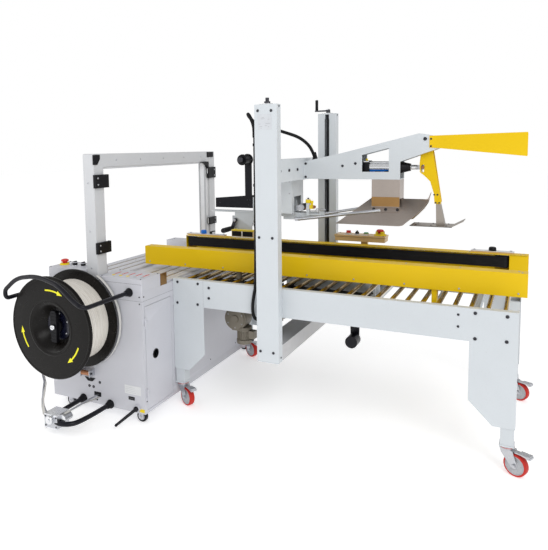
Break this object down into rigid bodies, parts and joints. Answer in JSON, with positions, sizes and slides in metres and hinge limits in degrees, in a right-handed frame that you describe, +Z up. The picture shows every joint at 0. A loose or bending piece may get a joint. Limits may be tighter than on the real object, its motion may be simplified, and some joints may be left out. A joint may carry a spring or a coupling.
{
  "type": "carton sealer and strapping line",
  "caption": "Side belt carton sealer with flap folding head and lifting columns, docked to an arch strapping machine with a strap reel.",
  "frame": {"origin": "on the floor, under the middle of the whole line", "axes": "+X along the roller bed towards the infeed, +Y across the bed away from the reel side, +Z up"},
  "size_m": [2.4578, 1.6335, 1.722],
  "materials": {
    "machine_paint": "light blue grey powder coat",
    "cabinet_paint": "light lavender grey powder coat",
    "arch_paint": "grey powder coat",
    "control_paint": "beige grey powder coat",
    "black_paint": "satin black",
    "yellow_paint": "gloss yellow",
    "stainless": "brushed",
    "roller_steel": "zinc plated",
    "cylinder_metal": "anodised",
    "black_plastic": "moulded",
    "white_plastic": "smooth",
    "strap_plastic": "embossed strap",
    "red_plastic": "gloss",
    "green_plastic": "gloss",
    "belt_rubber": "rough grip belt",
    "wheel_red": "polyurethane",
    "wheel_black": "smooth"
  },
  "bodies": {
    "line_frame": {"side_panels": "machine_paint", "leg_posts": "machine_paint", "bed_crossbars": "machine_paint", "bed_rollers": "roller_steel", "mast_columns": "machine_paint", "mast_base_beam": "machine_paint", "bottom_tape_head": "black_paint", "control_box": "control_paint", "column_hose": "black_plastic", "strapper_cabinet": "cabinet_paint", "strapper_table": "cabinet_paint", "arch_frame": "arch_paint", "arch_tracks": "white_plastic", "reel_guard_tube": "black_paint", "bumper_tube": "black_paint", "strap_run": "strap_plastic"},
    "lifting_head": {"head_beam": "machine_paint", "boom": "machine_paint", "flap_wings": "yellow_paint", "ski_plate": "stainless", "flap_rods": "stainless", "top_tape_head": "machine_paint", "tape_roll_arm": "black_paint", "air_cylinder": "cylinder_metal", "head_hose": "black_plastic"},
    "tape_mandrel_body": {"tape_mandrel": "black_plastic"},
    "roller_arm_body": {"top_roller_arm": "stainless"},
    "piston": {"cylinder_rod": "roller_steel"},
    "kicker": {"kicker_arm": "yellow_paint"},
    "near_screw": {"near_screw_crank": "roller_steel"},
    "far_screw": {"far_screw_crank": "roller_steel"},
    "width_handle": {"width_crank": "roller_steel"},
    "near_side_drive": {"near_belt_cover": "yellow_paint", "near_belt": "belt_rubber", "near_drive_motor": "machine_paint"},
    "far_side_drive": {"far_belt_cover": "yellow_paint", "cover_fittings": "control_paint", "far_belt": "belt_rubber", "far_drive_motor": "machine_paint"},
    "foot_lever_body": {"foot_lever": "black_paint"},
    "stop_key": {"stop_button": "red_plastic"},
    "start_key": {"start_button": "green_plastic"},
    "emergency_key": {"emergency_button": "red_plastic"},
    "strapper_emergency_key": {"strapper_emergency_button": "red_plastic"},
    "door": {"cabinet_door": "cabinet_paint"},
    "reel_set": {"reel": "black_plastic", "strap_coil": "strap_plastic"},
    "lock_knob": {"reel_lock_knob": "black_plastic"},
    "outfeed_near_fork": {"outfeed_near_yoke": "stainless"},
    "outfeed_near_roller": {"outfeed_near_wheel": "wheel_red"},
    "infeed_near_fork": {"infeed_near_yoke": "stainless"},
    "infeed_near_roller": {"infeed_near_wheel": "wheel_red"},
    "outfeed_far_fork": {"outfeed_far_yoke": "stainless"},
    "outfeed_far_roller": {"outfeed_far_wheel": "wheel_red"},
    "infeed_far_fork": {"infeed_far_yoke": "stainless"},
    "infeed_far_roller": {"infeed_far_wheel": "wheel_red"},
    "strapper_roller_front_right": {"strapper_wheel_front_right": "wheel_black"},
    "strapper_roller_front_left": {"strapper_wheel_front_left": "wheel_black"},
    "strapper_roller_back_right": {"strapper_wheel_back_right": "wheel_black"},
    "strapper_roller_back_left": {"strapper_wheel_back_left": "wheel_black"}
  },
  "joints": [
    {"name": "head_lift", "type": "slide", "parent": "line_frame", "child": "lifting_head", "axis": [0, 0, 1], "range_m": [-0.16, 0.18], "deforming": ["head_hose"]},
    {"name": "near_screw_turn", "type": "hinge", "parent": "line_frame", "child": "near_screw", "pos_m": [0.0286, -0.20105, 1.634], "axis": [0, 0, 1], "continuous": true},
    {"name": "far_screw_turn", "type": "hinge", "parent": "line_frame", "child": "far_screw", "pos_m": [0.0286, 0.74625, 1.634], "axis": [0, 0, 1], "continuous": true},
    {"name": "near_width", "type": "slide", "parent": "line_frame", "child": "near_side_drive", "axis": [0, 1, 0], "range_m": [-0.12, 0.12]},
    {"name": "far_width", "type": "slide", "parent": "line_frame", "child": "far_side_drive", "axis": [0, 1, 0], "range_m": [-0.12, 0.12]},
    {"name": "width_turn", "type": "hinge", "parent": "line_frame", "child": "width_handle", "pos_m": [-0.6249, 0.7136, 0.935], "axis": [0, 1, 0], "continuous": true},
    {"name": "kicker_swing", "type": "hinge", "parent": "lifting_head", "child": "kicker", "pos_m": [0.7051, 0.2726, 1.457], "axis": [0, -1, 0], "range_deg": [0, 35]},
    {"name": "rod_stroke", "type": "slide", "parent": "lifting_head", "child": "piston", "axis": [1, 0, 0], "range_m": [0, 0.0935]},
    {"name": "tape_spin", "type": "hinge", "parent": "lifting_head", "child": "tape_mandrel_body", "pos_m": [-0.3279, 0.2686, 1.357], "axis": [0, 1, 0], "continuous": true},
    {"name": "roller_press", "type": "hinge", "parent": "lifting_head", "child": "roller_arm_body", "pos_m": [-0.0429, 0.2726, 1.075], "axis": [0, -1, 0], "range_deg": [0, 25], "stiffness_Nm_per_rad": 1.5, "springref_deg": -11.46},
    {"name": "stop_press", "type": "slide", "parent": "line_frame", "child": "stop_key", "axis": [0, 0, -1], "range_m": [0, 0.004], "stiffness_N_per_m": 900},
    {"name": "start_press", "type": "slide", "parent": "line_frame", "child": "start_key", "axis": [0, 0, -1], "range_m": [0, 0.004], "stiffness_N_per_m": 900},
    {"name": "emergency_press", "type": "slide", "parent": "line_frame", "child": "emergency_key", "axis": [0, 0, -1], "range_m": [0, 0.004], "stiffness_N_per_m": 900},
    {"name": "strapper_emergency_press", "type": "slide", "parent": "line_frame", "child": "strapper_emergency_key", "axis": [0, 0, -1], "range_m": [0, 0.004], "stiffness_N_per_m": 900},
    {"name": "foot_press", "type": "hinge", "parent": "line_frame", "child": "foot_lever_body", "pos_m": [-0.6129, -0.4774, 0.082], "axis": [0.8944, -0.4472, 0], "range_deg": [0, 4], "stiffness_Nm_per_rad": 8, "springref_deg": -2.86},
    {"name": "door_swing", "type": "hinge", "parent": "line_frame", "child": "door", "pos_m": [-0.5594, -0.4424, 0.345], "axis": [0, 0, -1], "range_deg": [0, 110]},
    {"name": "reel_spin", "type": "hinge", "parent": "line_frame", "child": "reel_set", "pos_m": [-0.9629, -0.5954, 0.533], "axis": [0, 1, 0], "continuous": true},
    {"name": "lock_turn", "type": "hinge", "parent": "line_frame", "child": "lock_knob", "pos_m": [-0.9629, -0.6614, 0.533], "axis": [0, 1, 0], "range_deg": [0, 90]},
    {"name": "outfeed_near_swivel", "type": "hinge", "parent": "line_frame", "child": "outfeed_near_fork", "pos_m": [-0.5314, -0.1449, 0.118], "axis": [0, 0, 1], "range_deg": [-65, 115]},
    {"name": "outfeed_near_roll", "type": "hinge", "parent": "outfeed_near_fork", "child": "outfeed_near_roller", "pos_m": [-0.49334, -0.16265, 0.05], "axis": [0.4226, 0.9063, 0], "continuous": true},
    {"name": "infeed_near_swivel", "type": "hinge", "parent": "line_frame", "child": "infeed_near_fork", "pos_m": [1.1256, -0.1449, 0.118], "axis": [0, 0, 1], "continuous": true},
    {"name": "infeed_near_roll", "type": "hinge", "parent": "infeed_near_fork", "child": "infeed_near_roller", "pos_m": [1.16366, -0.16265, 0.05], "axis": [0.4226, 0.9063, 0], "continuous": true},
    {"name": "outfeed_far_swivel", "type": "hinge", "parent": "line_frame", "child": "outfeed_far_fork", "pos_m": [-0.5314, 0.6901, 0.118], "axis": [0, 0, 1], "range_deg": [-65, 115]},
    {"name": "outfeed_far_roll", "type": "hinge", "parent": "outfeed_far_fork", "child": "outfeed_far_roller", "pos_m": [-0.49334, 0.67235, 0.05], "axis": [0.4226, 0.9063, 0], "continuous": true},
    {"name": "infeed_far_swivel", "type": "hinge", "parent": "line_frame", "child": "infeed_far_fork", "pos_m": [1.1256, 0.6901, 0.118], "axis": [0, 0, 1], "continuous": true},
    {"name": "infeed_far_roll", "type": "hinge", "parent": "infeed_far_fork", "child": "infeed_far_roller", "pos_m": [1.16366, 0.67235, 0.05], "axis": [0.4226, 0.9063, 0], "continuous": true},
    {"name": "strapper_roll_front_right", "type": "hinge", "parent": "line_frame", "child": "strapper_roller_front_right", "pos_m": [-0.6049, -0.4324, 0.03], "axis": [0, 1, 0], "continuous": true},
    {"name": "strapper_roll_front_left", "type": "hinge", "parent": "line_frame", "child": "strapper_roller_front_left", "pos_m": [-1.0879, -0.4324, 0.03], "axis": [0, 1, 0], "continuous": true},
    {"name": "strapper_roll_back_right", "type": "hinge", "parent": "line_frame", "child": "strapper_roller_back_right", "pos_m": [-0.6049, 0.7786, 0.03], "axis": [0, 1, 0], "continuous": true},
    {"name": "strapper_roll_back_left", "type": "hinge", "parent": "line_frame", "child": "strapper_roller_back_left", "pos_m": [-1.0879, 0.7786, 0.03], "axis": [0, 1, 0], "continuous": true}
  ],
  "couplings": [
    {"joint": "near_screw_turn", "follows": "head_lift", "rad_per_m": -628.32},
    {"joint": "far_screw_turn", "follows": "head_lift", "rad_per_m": -628.32},
    {"joint": "far_width", "follows": "near_width", "ratio": -1},
    {"joint": "width_turn", "follows": "near_width", "rad_per_m": 628.32},
    {"joint": "rod_stroke", "follows": "kicker_swing", "m_per_rad": 0.1524}
  ]
}
